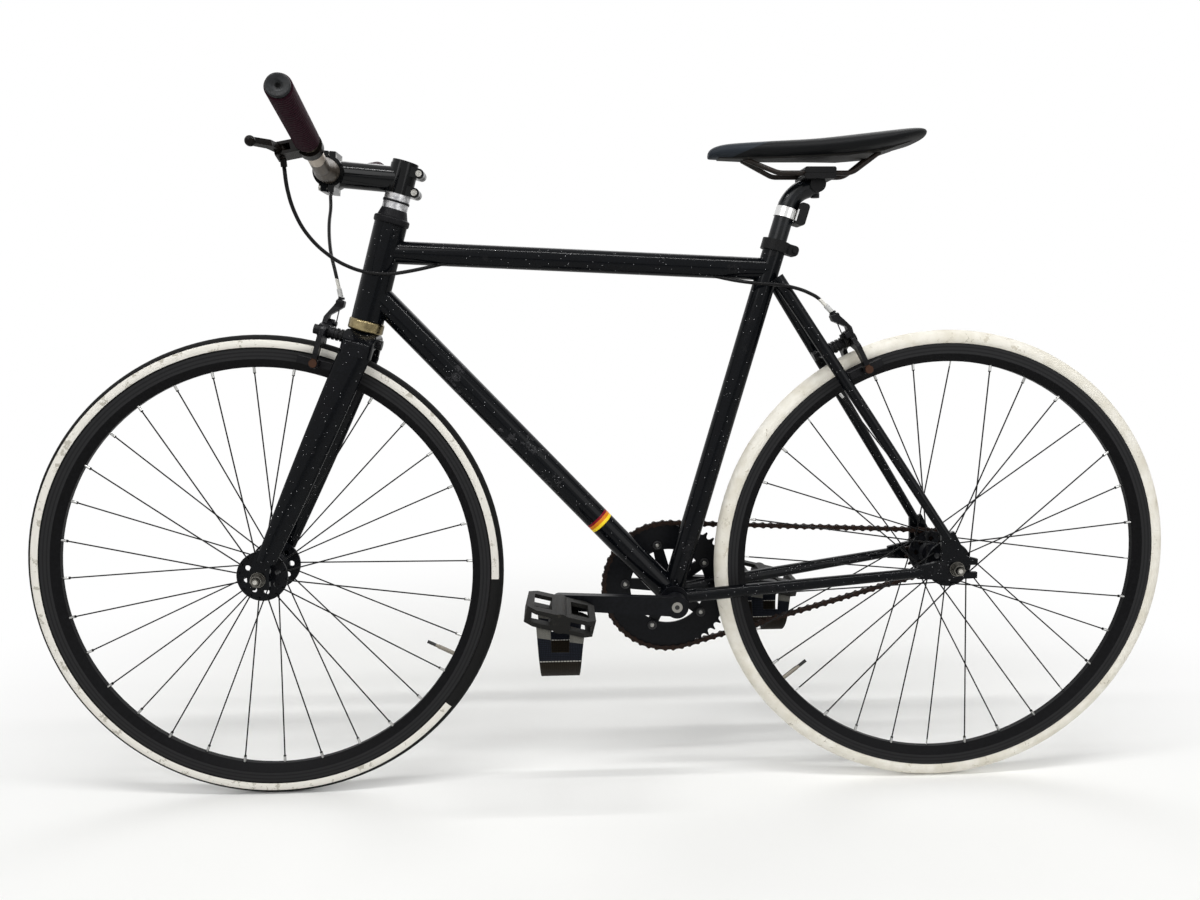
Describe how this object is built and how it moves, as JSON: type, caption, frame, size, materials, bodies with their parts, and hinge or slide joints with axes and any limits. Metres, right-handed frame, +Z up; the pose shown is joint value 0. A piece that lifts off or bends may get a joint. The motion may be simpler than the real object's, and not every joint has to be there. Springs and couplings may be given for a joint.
{
  "type": "fixed gear bicycle",
  "caption": "Fixed gear bicycle with a steel diamond frame, a straight fork, a raised flat handlebar with hand brakes, foot strap pedals and a single chain drive.",
  "frame": {"origin": "on the ground in the middle plane, halfway between the wheel axles", "axes": "+X forward, +Y to the rider's left, +Z up"},
  "size_m": [1.6509, 0.6134, 0.9526],
  "materials": {
    "frame_paint": "gloss",
    "black_aluminium": "satin",
    "bare_aluminium": "brushed",
    "bar_aluminium": "brushed",
    "steel": "satin",
    "black_steel": "satin",
    "rusty_steel": "rusted",
    "brass": "satin",
    "white_tyre": "matte",
    "black_tyre": "matte",
    "inner_rubber": "matte",
    "grip_rubber": "matte",
    "cable_sheath": "satin",
    "black_plastic": "matte",
    "saddle_leather": "satin",
    "webbing": "matte"
  },
  "bodies": {
    "frame": {"head_tube": "frame_paint", "top_tube": "frame_paint", "down_tube": "frame_paint", "seat_tube": "frame_paint", "bottom_bracket_shell": "frame_paint", "chainstays": "frame_paint", "seatstays": "frame_paint", "rear_dropouts": "frame_paint", "seat_clamp": "black_aluminium", "lower_headset_cup": "brass", "upper_headset_cup": "black_aluminium", "bottom_bracket_cups": "black_steel", "rear_axle": "steel", "rear_brake_bolt": "steel", "rear_brake_cable": "cable_sheath", "rear_brake_lead": "cable_sheath", "chain": "rusty_steel"},
    "steering": {"fork_crown": "frame_paint", "fork_blades": "frame_paint", "headset_cover": "black_aluminium", "headset_spacers": "bare_aluminium", "stem": "black_aluminium", "stem_bolts": "steel", "handlebar": "bar_aluminium", "grips": "grip_rubber", "lever_brackets": "black_aluminium", "front_axle": "steel", "front_brake_bolt": "steel", "front_brake_cable": "cable_sheath"},
    "front_wheel": {"front_tyre": "black_tyre", "front_inner_tube": "inner_rubber", "front_rim": "black_aluminium", "front_spokes": "steel", "front_hub": "black_aluminium"},
    "rear_wheel": {"rear_tyre": "white_tyre", "rear_inner_tube": "inner_rubber", "rear_rim": "black_aluminium", "rear_spokes": "steel", "rear_hub": "black_aluminium", "rear_cog": "rusty_steel"},
    "crank": {"crank_arms": "black_aluminium", "crank_spindle": "steel", "chainring": "black_aluminium", "pedal_spindles": "steel"},
    "left_pedal_set": {"left_pedal": "black_plastic", "left_foot_strap": "webbing"},
    "right_pedal_set": {"right_pedal": "black_plastic", "right_foot_strap": "webbing"},
    "left_lever": {"left_brake_lever": "black_aluminium"},
    "right_lever": {"right_brake_lever": "black_aluminium"},
    "front_left_arm": {"front_left_brake_arm": "black_aluminium"},
    "front_right_arm": {"front_right_brake_arm": "black_aluminium"},
    "rear_left_arm": {"rear_left_brake_arm": "black_aluminium"},
    "rear_right_arm": {"rear_right_brake_arm": "black_aluminium"},
    "seat": {"seatpost": "black_aluminium", "saddle_cover": "saddle_leather", "saddle_base": "black_plastic", "saddle_rails": "black_steel", "saddle_clamp": "black_steel", "reflector_bracket": "black_plastic"}
  },
  "joints": [
    {"name": "steering_turn", "type": "hinge", "parent": "frame", "child": "steering", "pos_m": [0.33675, 0, 0.69048], "axis": [-0.2689, 0, 0.9632], "range_deg": [-75, 75], "deforming": ["rear_brake_lead"]},
    {"name": "front_wheel_spin", "type": "hinge", "parent": "steering", "child": "front_wheel", "pos_m": [0.4895, 0, 0.336], "axis": [0, 1, 0], "continuous": true},
    {"name": "rear_wheel_spin", "type": "hinge", "parent": "frame", "child": "rear_wheel", "pos_m": [-0.4895, 0, 0.336], "axis": [0, 1, 0], "continuous": true, "deforming": ["chain"]},
    {"name": "crank_spin", "type": "hinge", "parent": "frame", "child": "crank", "pos_m": [-0.09109, 0, 0.289], "axis": [0, 1, 0], "continuous": true},
    {"name": "left_pedal_spin", "type": "hinge", "parent": "crank", "child": "left_pedal_set", "pos_m": [0.07359, 0.12, 0.29936], "axis": [0, 1, 0], "continuous": true},
    {"name": "right_pedal_spin", "type": "hinge", "parent": "crank", "child": "right_pedal_set", "pos_m": [-0.25576, -0.12, 0.27864], "axis": [0, 1, 0], "continuous": true},
    {"name": "left_lever_pull", "type": "hinge", "parent": "steering", "child": "left_lever", "pos_m": [0.40763, 0.14052, 0.89807], "axis": [0.2213, -0.1789, 0.9587], "range_deg": [0, 20], "stiffness_Nm_per_rad": 1.5, "deforming": ["rear_brake_cable"]},
    {"name": "right_lever_pull", "type": "hinge", "parent": "steering", "child": "right_lever", "pos_m": [0.40763, -0.14052, 0.89807], "axis": [-0.2213, -0.1789, -0.9587], "range_deg": [0, 20], "stiffness_Nm_per_rad": 1.5, "deforming": ["front_brake_cable"]},
    {"name": "front_right_arm_close", "type": "hinge", "parent": "steering", "child": "front_right_arm", "pos_m": [0.39824, 0, 0.67658], "axis": [0.9659, 0, 0.2588], "range_deg": [0, 2]},
    {"name": "front_left_arm_close", "type": "hinge", "parent": "steering", "child": "front_left_arm", "pos_m": [0.39824, 0, 0.67658], "axis": [-0.9659, 0, -0.2588], "range_deg": [0, 2]},
    {"name": "rear_left_arm_close", "type": "hinge", "parent": "frame", "child": "rear_left_arm", "pos_m": [-0.34328, 0, 0.65685], "axis": [-0.91, 0, 0.4147], "range_deg": [0, 2]},
    {"name": "rear_right_arm_close", "type": "hinge", "parent": "frame", "child": "rear_right_arm", "pos_m": [-0.34328, 0, 0.65685], "axis": [0.91, 0, -0.4147], "range_deg": [0, 2]},
    {"name": "seat_height", "type": "slide", "parent": "frame", "child": "seat", "axis": [-0.279, 0, 0.9603], "range_m": [-0.02, 0.06]}
  ],
  "couplings": [
    {"joint": "crank_spin", "follows": "rear_wheel_spin", "ratio": 0.33333},
    {"joint": "front_right_arm_close", "follows": "right_lever_pull", "ratio": 0.095},
    {"joint": "front_left_arm_close", "follows": "right_lever_pull", "ratio": 0.095},
    {"joint": "rear_left_arm_close", "follows": "left_lever_pull", "ratio": 0.095},
    {"joint": "rear_right_arm_close", "follows": "left_lever_pull", "ratio": 0.095}
  ]
}
